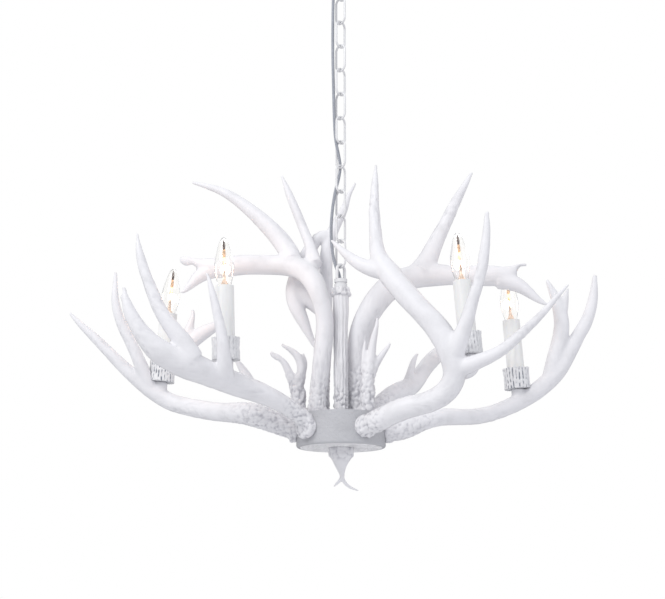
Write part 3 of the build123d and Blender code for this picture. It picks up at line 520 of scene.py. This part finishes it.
def remeshed(node, voxel):
    """A copy of a node's shape as an even mesh, with any root that its tines need."""
    copy = bpy.data.objects.new("remesh", frame["nodes"][node].data.copy())
    bpy.context.scene.collection.objects.link(copy)
    mesh = bmesh.new()
    mesh.from_mesh(copy.data)
    bmesh.ops.remove_doubles(mesh, verts=mesh.verts, dist=1e-6)
    if node in TINE_ROOTS:
        root = tube_along("tine_root", *TINE_ROOTS[node], ROOT_SIDES)
        mesh.from_mesh(root)
        bpy.data.meshes.remove(root)
    mesh.to_mesh(copy.data)
    mesh.free()
    grid = copy.modifiers.new("grid", "REMESH")
    grid.mode = "VOXEL"
    grid.voxel_size = voxel
    graph = bpy.context.evaluated_depsgraph_get()
    shape = bpy.data.meshes.new_from_object(copy.evaluated_get(graph))
    bpy.data.objects.remove(copy)
    return shape


def arrays(mesh):
    """A mesh's points and edges as arrays."""
    points = np.empty(len(mesh.vertices) * 3)
    mesh.vertices.foreach_get("co", points)
    edges = np.empty(len(mesh.edges) * 2, dtype=np.int64)
    mesh.edges.foreach_get("vertices", edges)
    return points.reshape(-1, 3), edges.reshape(-1, 2)


def neighbour_mean(values, edges, weights=None):
    """Each point's weighted mean of its neighbours' values."""
    count = len(values)
    a, b = edges[:, 0], edges[:, 1]
    w = np.ones(len(edges)) if weights is None else weights
    total = np.bincount(a, w, count) + np.bincount(b, w, count)
    columns = values.reshape(count, -1)
    mean = np.empty_like(columns)
    for k in range(columns.shape[1]):
        column = columns[:, k]
        mean[:, k] = np.bincount(a, w * column[b], count)
        mean[:, k] += np.bincount(b, w * column[a], count)
    return (mean / np.maximum(total, 1e-12)[:, None]).reshape(values.shape)


def relax(points, edges, held, rounds):
    """Smooth the surface without shrinking it. Held is 1 where a point stays."""
    free = (1 - held)[:, None]
    for _ in range(rounds):
        points = points + 0.5 * free * (neighbour_mean(points, edges) - points)
        points = points - 0.52 * free * (neighbour_mean(points, edges) - points)
    return points


def fill_forks(mesh, points, edges, held, rounds):
    """Web the sharp hollows between joined horns: hollow points move outward only."""
    free = 1 - held
    for _ in range(rounds):
        set_points(mesh, points)
        out = normals_of(mesh)
        hollow = ((neighbour_mean(points, edges) - points) * out).sum(1)
        hollow = np.clip(hollow - FORK_FLOOR, 0, FORK_STEP) * free
        points = points + out * (0.9 * hollow)[:, None]
    return points


def travel(points, edges, sources):
    """Distance over the surface from the source points."""
    length = np.linalg.norm(points[edges[:, 0]] - points[edges[:, 1]], axis=1)
    distance = np.full(len(points), 9.0)
    distance[sources] = 0
    a, b = edges[:, 0], edges[:, 1]
    for _ in range(TRAVEL_ROUNDS):
        before = distance.copy()
        np.minimum.at(distance, b, before[a] + length)
        np.minimum.at(distance, a, before[b] + length)
        if np.array_equal(before, distance):
            break
    return distance


def run_direction(points, edges, distance):
    """The way along the horn at each point, from the rise of the distance."""
    step = points[edges[:, 1]] - points[edges[:, 0]]
    rise = distance[edges[:, 1]] - distance[edges[:, 0]]
    share = step * (rise / np.maximum((step**2).sum(1), 1e-12))[:, None]
    way = np.zeros_like(points)
    for k in range(3):
        way[:, k] = np.bincount(edges[:, 0], share[:, k], len(points))
        way[:, k] += np.bincount(edges[:, 1], share[:, k], len(points))
    for _ in range(6):
        way = neighbour_mean(way, edges)
    return way / np.maximum(np.linalg.norm(way, axis=1), 1e-9)[:, None]


def streaks(points, edges, way, rounds):
    """Random ridges drawn out along the horn, from about -1 to 1."""
    values = rng.normal(size=len(points))
    step = points[edges[:, 1]] - points[edges[:, 0]]
    step /= np.maximum(np.linalg.norm(step, axis=1), 1e-9)[:, None]
    along = (step * (way[edges[:, 0]] + way[edges[:, 1]]) / 2).sum(1) ** 2
    weights = 0.02 + along**3
    for _ in range(rounds):
        values = neighbour_mean(values, edges, weights) * 0.6 + values * 0.4
    return values / (2 * values.std())


def smoothstep(low, high, value):
    """0 below low, 1 above high, smooth between."""
    t = np.clip((value - low) / (high - low), 0, 1)
    return t * t * (3 - 2 * t)


def noise_at(points, scale, shift):
    """Smooth noise from -1 to 1 at each point. Scale is features per metre."""
    offset = Vector((shift, shift * 1.7, -shift))
    return np.array([noise.noise(Vector(p) * scale + offset) for p in points])


def pearls_at(points, scale):
    """Rounded bumps from 0 to 1, touching each other, at each point."""
    found = np.array([noise.voronoi(Vector(p) * scale)[0][0] for p in points])
    return np.clip(1 - found**2 * 1.6, 0, 1)


def normals_of(mesh):
    """The outward normal at each point."""
    values = np.empty(len(mesh.vertices) * 3)
    mesh.vertex_normals.foreach_get("vector", values)
    return values.reshape(-1, 3)


def set_points(mesh, points):
    """Move a mesh's points."""
    mesh.vertices.foreach_set("co", points.astype(np.float32).ravel())
    mesh.update()


def finish_piece(name, mesh, crease_shade, material):
    """Wrap a mesh as a smooth piece with its painted crease shade."""
    attribute = mesh.attributes.new("crease_shade", "FLOAT", "POINT")
    attribute.data.foreach_set("value", crease_shade.astype(np.float32))
    mesh.materials.clear()
    mesh.materials.append(material)
    mesh.shade_smooth()
    piece = bpy.data.objects.new(name, mesh)
    bpy.context.scene.collection.objects.link(piece)
    return piece


def carve(
    node, seat_distance, rough_reach, material,
    depth=1.0, voxel=VOXEL, body="fixture", pearl=1.0, extra=None,
):
    """Stand in for a plain horn: rounded forks, a pearled foot, grooves and smooth tips, and painted
    shade in the grooves and between the pearls.

    seat_distance gives each point's distance from the seat that it springs from, and
    extra gives a further height at each point.
    """
    mesh = remeshed(node, voxel)
    points, edges = arrays(mesh)
    from_seat = seat_distance(points)
    held = smoothstep(*SEAT_BLEND, from_seat)
    points = relax(points, edges, held, 3)
    points = fill_forks(mesh, points, edges, held, FORK_ROUNDS)
    points = relax(points, edges, held, 4)
    set_points(mesh, points)
    sources = np.flatnonzero(from_seat < max(from_seat.min(), 0) + SEAT_REACH)
    distance = travel(points, edges, sources)
    way = run_direction(points, edges, distance)
    ridge = streaks(points, edges, way, RIDGE_ROUNDS)
    fine_ridge = streaks(points, edges, way, FINE_ROUNDS)
    far = distance.max()
    # a tip is where the distance has no higher neighbour
    high = np.full(len(points), -1.0)
    np.maximum.at(high, edges[:, 0], distance[edges[:, 1]])
    np.maximum.at(high, edges[:, 1], distance[edges[:, 0]])
    tips = np.flatnonzero((distance > high) & (distance > HORN_LENGTH))
    to_tip = travel(points, edges, tips) if len(tips) else np.full(len(points), far)
    worn = smoothstep(*WORN, to_tip)
    foot = 1 - smoothstep(rough_reach * 0.35, rough_reach, distance)
    pearl_height = np.zeros(len(points))
    near = np.flatnonzero(foot > 0.01)
    if len(near):
        pearl_height[near] = sum(pearls_at(points[near], scale) * share for scale, share in PEARL_SCALES)
    swell = noise_at(points, SWELL_SCALE, 3.0)
    height = (
        RIDGE_HEIGHT * ridge * worn
        + FINE_HEIGHT * fine_ridge * worn
        + PEARL_HEIGHT * pearl * (pearl_height - PEARL_MIDDLE) * foot
        + SWELL_HEIGHT * swell * worn
    )
    height *= depth * (1 - held)
    if extra:
        height += extra(points) * (1 - held)
    normals = normals_of(mesh)
    point_out = TIP_GROWTH * smoothstep(TIP_REACH, 0, to_tip) ** 2
    moved = points + normals * height[:, None] + way * point_out[:, None]
    set_points(mesh, np.clip(moved, np.array(cad_low), np.array(cad_high)))
    # painted shade: the grooves and the hollows between the pearls are darkened through the crease shade
    hollow = np.clip((PEARL_MIDDLE - pearl_height) * 1.9, 0, 0.95) * foot
    crease_shade = np.clip(-0.32 * ridge * worn, 0, 0.5) + hollow * min(pearl, 1.1)
    piece = finish_piece(node + "_carved", mesh, np.clip(crease_shade, 0, 1), material)
    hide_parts(node)
    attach(piece, body)
    return piece


HUB_RADIUS = (HUB_HIGH.x - HUB_LOW.x) / 2


def from_side(points):
    """Distance out from the hub's side. A tine that arches over the hub isn't near it."""
    out = np.hypot(points[:, 0], points[:, 1]) - HUB_RADIUS
    return np.maximum(out, points[:, 2] - HUB_HIGH.z)


def from_top(points):
    """Distance up from the hub's top."""
    return points[:, 2] - HUB_HIGH.z


def from_below(points):
    """Distance down from the hub's rim."""
    return HUB_LOW.z - points[:, 2]


# Each antler's rough foot: how far it reaches in metres, and how strong its pearls are
SIDE_ANTLERS = {
    "front_left": (0.085, 1.1),
    "front_right": (0.075, 1.3),
    "left": (0.17, 1.0),
    "right": (0.13, 0.8),
    "back_left": (0.10, 0.9),
    "back_right": (0.12, 0.8),
}
TOP_ANTLERS = {
    "upper_left": (0.085, 0.8),
    "upper_right": (0.115, 1.9),
    "upper_back": (0.12, 1.2),
    "small_left": (0.10, 1.3),
    "small_right": (0.11, 1.4),
}
COLUMN_TOP = HUB_HIGH.z + 0.224
COLUMN_SPLAY = 0.0018  # how much the stem widens under its cap
SPLAY_START, SPLAY_END, COLUMN_LIP = 0.062, 0.035, 0.004  # all below the column's top
BORE_EDGE, BODY_EDGE = 0.006, 0.009  # the fluting fades in between these radii
FLUTES = 13
FLUTE_DEPTH = 0.0006


def make_antlers():
    """All the antlers, the stem between them and the finial under the hub."""
    for side, (reach, pearl) in SIDE_ANTLERS.items():
        carve("antler_" + side, from_side, reach, antler_white, pearl=pearl)
    for side, (reach, pearl) in TOP_ANTLERS.items():
        carve("antler_" + side, from_top, reach, antler_white, pearl=pearl)
    carve(
        "stem_column", from_top, 0.07, stem_white,
        depth=1.0, voxel=0.0013, pearl=1.2, extra=fluted,
    )
    carve(
        "stem_cap", from_top, 0.03, stem_white,
        depth=1.4, voxel=0.0012, pearl=0.8, extra=fluted,
    )
    carve(
        "finial", from_below, 0.03, antler_white,
        depth=0.6, voxel=0.0013, body="finial_tip", pearl=0.9,
    )


def fluted(points):
    """The stem's upright ribs, broken along their height, and its splayed top."""
    angle = np.arctan2(points[:, 1], points[:, 0])
    drift = noise_at(points * np.array([1, 1, 0.25]), 45, 5.0)
    ribs = np.cos(FLUTES * angle + 2.4 * drift)
    splay = smoothstep(COLUMN_TOP - SPLAY_START, COLUMN_TOP - SPLAY_END, points[:, 2])
    outside = smoothstep(BORE_EDGE, BODY_EDGE, np.hypot(points[:, 0], points[:, 1]))
    below_top = points[:, 2] < COLUMN_TOP - COLUMN_LIP
    return outside * (FLUTE_DEPTH * ribs + COLUMN_SPLAY * splay * below_top)


# ---------------------------------------------------------------- candle cups
CUP_SPINES = 24
CUP_RADIUS = 0.0245
CUP_HEIGHT = 0.040
CUP_BORE = 0.0164
CUP_FLOOR = 0.010
CUP_POST = 0.0055  # hole for the lampholder's post
CUP_RIM = 0.0050
CUP_WOBBLE = 3.2  # how far the spines stray round the cup
CUP_FLARE = 0.0010
CUP_INSET = 0.0010
CUP_CLEFT = 0.0026
CUP_KNOB = 0.0010
CUP_JAG = 0.0022
CUP_JAGGED = 0.7  # the rim bends the cup above this share of its height
CUP_AROUND = 220
CUP_LEVELS = 30
# How strong the painted shade in each cup's clefts is; the side cups get more than the front ones
CUP_CLEFT_SHADE_STRENGTH = {"left": 1.9, "front_left": 0.35, "front_right": 0.35, "right": 1.5}


def candle_matrix(side):
    """Where a candle stands: z along its sleeve, origin under its cup."""
    joint = next(j for j in frame["joints"] if j["name"] == f"bulb_{side}_unscrew")
    up = Vector(joint["axis"]).normalized()
    across = Vector((0, 1, 0)).cross(up).normalized()
    turn = Matrix((across, up.cross(across), up)).transposed().to_4x4()
    cup_low, cup_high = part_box("candle_cup_" + side)
    middle = (cup_low + cup_high) / 2
    return Matrix.Translation(middle - up * CUP_HEIGHT / 2) @ turn


def cup_surface(angle, level, seed):
    """The coronet's outside: its radius and the painted shade in its clefts. Uneven spines with broken
    clefts.
    """
    ring = Vector((math.cos(angle), math.sin(angle), 0))
    wobble = noise.noise(ring * 1.6 + Vector((0, 0, seed + level * 0.8)))
    phase = angle * CUP_SPINES + CUP_WOBBLE * wobble
    cleft = 1 - (0.5 + 0.5 * math.cos(phase)) ** 0.5
    breaks = noise.noise(ring * 7 + Vector((0, 0, seed * 5 + level * 6.5)))
    gap = min(max(0.5 + 2.2 * breaks, 0), 1)
    knob = noise.noise(ring * 9 + Vector((0, 0, seed * 3 + level * 7)))
    flare = CUP_FLARE * (2 * level - 1) ** 2
    depth = cleft * (0.35 + 0.65 * gap)
    radius = CUP_RADIUS - CUP_INSET + flare - CUP_CLEFT * depth + CUP_KNOB * knob
    return radius, cleft**2.2 * gap


def make_cup(side, seed, tone):
    """A candle cup like an antler's coronet, over the plain one."""
    place = candle_matrix(side)
    mesh = bmesh.new()
    rings, crease_shade = [], []
    turns = [2 * math.pi * step / CUP_AROUND for step in range(CUP_AROUND)]

    def ring(radii, heights, tones):
        points = []
        for angle, radius, height, dark in zip(turns, radii, heights, tones):
            spot = Vector((radius * math.cos(angle), radius * math.sin(angle), height))
            points.append(mesh.verts.new(place @ spot))
            # painted shade: each crease value is scaled by this cup's cleft shade strength
            crease_shade.append(dark * tone)
        rings.append(points)

    def plain_ring(radius, height, dark):
        ring([radius] * CUP_AROUND, [height] * CUP_AROUND, [dark] * CUP_AROUND)

    # The last value of each ring is painted shade, darkest on the floor of the bore.
    plain_ring(CUP_POST, 0, 0.3)
    for step in range(CUP_LEVELS + 1):
        level = step / CUP_LEVELS
        surface = [cup_surface(angle, level, seed) for angle in turns]
        heights = []
        for angle in turns:
            rim = Vector((math.cos(angle) * 4, math.sin(angle) * 4, seed))
            jag = CUP_JAG * (noise.noise(rim) + 0.5 * noise.noise(rim * 3.1) - 0.8)
            heights.append(CUP_HEIGHT * level + jag * smooth_share(level))
        ring([radius for radius, _ in surface], heights, [dark for _, dark in surface])
    plain_ring(CUP_RADIUS - CUP_RIM, CUP_HEIGHT - 0.0016, 0.25)
    plain_ring(CUP_BORE + 0.0008, CUP_HEIGHT - 0.0018, 0.1)
    plain_ring(CUP_BORE, CUP_HEIGHT - 0.0026, 0.1)
    plain_ring(CUP_BORE, CUP_FLOOR, 0.6)
    plain_ring(CUP_POST, CUP_FLOOR, 0.6)
    for lower, upper in zip(rings, rings[1:] + rings[:1]):
        for k in range(CUP_AROUND):
            j = (k + 1) % CUP_AROUND
            mesh.faces.new((lower[k], lower[j], upper[j], upper[k]))
    bmesh.ops.recalc_face_normals(mesh, faces=mesh.faces)
    name = f"candle_cup_{side}_coronet"
    shape = bpy.data.meshes.new(name)
    mesh.to_mesh(shape)
    mesh.free()
    piece = finish_piece(name, shape, np.array(crease_shade), cup_white)
    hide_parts("candle_cup_" + side)
    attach(piece, "fixture")


def smooth_share(level):
    """How far the jagged rim bends a level of the cup: only the upper part."""
    return max(level - CUP_JAGGED, 0) / (1 - CUP_JAGGED)


# ---------------------------------------------------------------- bulbs
SLEEVE_TOP = 0.129  # above the cup's foot
# The parts inside the glass: heights above the sleeve, and the radius at each height
MOUNT = ((0.000, 0.006, 0.012, 0.018, 0.024, 0.028), [0.0084, 0.0050, 0.0028, 0.0024, 0.0032, 0.0014])
EMBER = ((0.046, 0.050, 0.055, 0.060, 0.064), [0.0005, 0.0020, 0.0030, 0.0030, 0.0022])
TIP = ((0.0645, 0.068, 0.072, 0.076, 0.080, 0.083), [0.0020, 0.0026, 0.0026, 0.0020, 0.0012, 0.0004])
COLLAR = ((-0.004, -0.0025, 0.0), [0.0102, 0.0105, 0.0098])
WIRE_RADIUS = 0.0005
WIRE = ((0, 0.0012, 0.018), (0.001, 0.0034, 0.030), (0.0016, 0.0050, 0.043))
FILAMENT_TURNS = 12
FILAMENT_RADIUS = 0.0006
COIL_RADIUS = 0.0014
COIL_STEPS = 144
COIL_HALF_WIDTH = 0.0050
COIL_LEVEL, COIL_RISE = 0.040, 0.010
BULB_POWERS = {"left": 0.10, "front_left": 0.10, "front_right": 0.04, "right": 0.06}
BULB_LIGHT = (0, 0.026, 0.036)  # just outside the glass, behind it
BULB_LIGHT_RADIUS = 0.012
BULB_GLOW = (1.0, 0.60, 0.40)


def add_piece(name, shape, material, body):
    """Link a mesh as a piece that rides on a body."""
    shape.materials.clear()
    shape.materials.append(material)
    piece = bpy.data.objects.new(name, shape)
    bpy.context.scene.collection.objects.link(piece)
    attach(piece, body)


def make_bulb(side):
    """The insides of a flame bulb: mount, wires, filament, ember and tip, and its light."""
    place = candle_matrix(side)
    body = "bulb_" + side

    def at(x, y, z):
        return place @ Vector((x, y, SLEEVE_TOP + z))

    def rod(name, line, radius, material, sides):
        shape = tube_along(f"bulb_{name}_{side}", [at(*point) for point in line], radius, sides)
        add_piece(f"bulb_{name}_{side}", shape, material, body)

    def turned(name, profile, material, sides=20):
        heights, radii = profile
        rod(name, [(0, 0, z) for z in heights], radii, material, sides)

    turned("mount", MOUNT, core_warm)
    for k, sign in enumerate((-1, 1)):
        wire = [(sign * x, sign * y, z) for x, y, z in WIRE]
        rod(f"wire_{k}", wire, WIRE_RADIUS, wire_dark, 8)
    turned("ember", EMBER, ember_amber)
    turned("tip", TIP, tip_brown)
    coil = []
    for step in range(COIL_STEPS + 1):
        share = step / COIL_STEPS
        turn = 2 * math.pi * FILAMENT_TURNS * share
        lift = COIL_LEVEL + COIL_RISE * math.sin(math.pi * share)
        across = COIL_HALF_WIDTH * (2 * share - 1)
        coil.append((COIL_RADIUS * math.cos(turn), across, lift + COIL_RADIUS * math.sin(turn)))
    rod("filament", coil, FILAMENT_RADIUS, filament_hot, 6)
    turned("collar", COLLAR, brass, 32)
    data = bpy.data.lights.new(f"bulb_light_{side}", "POINT")
    data.energy = BULB_POWERS[side]
    data.color = BULB_GLOW
    data.shadow_soft_size = BULB_LIGHT_RADIUS
    lamp = bpy.data.objects.new(f"bulb_light_{side}", data)
    lamp.location = at(*BULB_LIGHT)
    bpy.context.scene.collection.objects.link(lamp)
    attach(lamp, body)


# ---------------------------------------------------------------- supply cord
CORD_RADIUS = 0.0028
CORD_SIDES = 20
CORD_ROUTE = [
    (0, 0, -0.010), (0, 0, -0.049), (-0.0095, 0, -0.066), (-0.0135, 0.0005, -0.100),
    (-0.0145, 0.0005, -0.165), (-0.0145, -0.0005, -0.230), (-0.0132, -0.0005, -0.290),
    (-0.012, 0, -0.345), (-0.010, -0.0002, -0.390), (-0.0036, 0.003, -0.420),
    (0, 0.0085, -0.440), (-0.0035, 0.007, -0.464), (-0.010, 0, -0.489),
    (-0.0155, -0.001, -0.526), (-0.018, 0, -0.562), (-0.0165, 0, -0.597),
    (-0.0105, 0, -0.630), (0, 0, -0.651), (0, 0, -0.676),
]


def cord_line():
    """The cord's smooth centre line, as points close together."""
    data = bpy.data.curves.new("cord_line", "CURVE")
    data.dimensions = "3D"
    data.resolution_u = 24
    spline = data.splines.new("NURBS")
    spline.points.add(len(CORD_ROUTE) - 1)
    for point, place in zip(spline.points, CORD_ROUTE):
        point.co = (*place, 1)
    spline.order_u = 3
    spline.use_endpoint_u = True
    curve = bpy.data.objects.new("cord_line", data)
    bpy.context.scene.collection.objects.link(curve)
    mesh = bpy.data.meshes.new_from_object(curve)
    line = [v.co.copy() for v in mesh.vertices]
    bpy.data.objects.remove(curve)
    return line


def make_cord():
    """The cord in lengths from one link's middle to the next one's."""
    line = cord_line()
    middles = [FIRST_LINK_MIDDLE - LINK_PITCH * k for k in range(LINKS)]
    tops = [line[0].z, *middles]
    bottoms = [*middles, line[-1].z]
    for k, (top, bottom) in enumerate(zip(tops, bottoms)):
        inside = [i for i, p in enumerate(line) if bottom - 1e-6 <= p.z <= top + 1e-6]
        first, last = inside[0], inside[-1]
        stretch = line[first : last + 1]
        if first > 0:
            stretch.insert(0, cut_at(line[first - 1], line[first], top))
        if last < len(line) - 1:
            stretch.append(cut_at(line[last], line[last + 1], bottom))
        name = f"supply_cord_{k + 1:02d}"
        shape = tube_along(name, stretch, CORD_RADIUS, CORD_SIDES)
        shape.materials.append(cord_braid)
        piece = bpy.data.objects.new(name, shape)
        bpy.context.scene.collection.objects.link(piece)
        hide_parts("supply_cord")
        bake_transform(piece)


def cut_at(above, below, level):
    """The point between two where the line passes a level."""
    share = (above.z - level) / max(above.z - below.z, 1e-9)
    return above.lerp(below, min(max(share, 0), 1))


# ---------------------------------------------------------------- the rest of the nodes
def dress_nodes():
    """Finish the nodes that keep their CAD shape."""
    for number in range(1, LINKS + 1):
        dress(f"chain_link_{number:02d}", white_enamel)
    for node in ("canopy", "canopy_ring", "ceiling_loop", "stem_loop"):
        dress(node, white_enamel)
    for node in ("crossbar", "crossbar_screws", "antler_screws", "hub_nut", "stem_tube"):
        dress(node, zinc)
    dress("hub_drum", hub_shaded_resin)
    dress("hub_cover", hub_under)
    dress("supply_leads", lead_ivory)
    dress("wire_connectors", orange_mould)
    for side in SIDES:
        dress("candle_sleeve_" + side, sleeve_white)
        dress("lamp_socket_" + side, black_mould)
        dress("bulb_base_" + side, brass)
        dress("bulb_glass_" + side, bulb_clear)


# ---------------------------------------------------------------- make it all
make_camera()
make_cord()
make_world()
make_floor()
for lamp in LAMPS:
    area_lamp(*lamp)
dress_nodes()
make_antlers()
for seed, side in enumerate(SIDES):
    make_cup(side, seed * 4.7 + 1, CUP_CLEFT_SHADE_STRENGTH[side])
    make_bulb(side)

view = bpy.context.scene.view_settings
view.view_transform = "Standard"
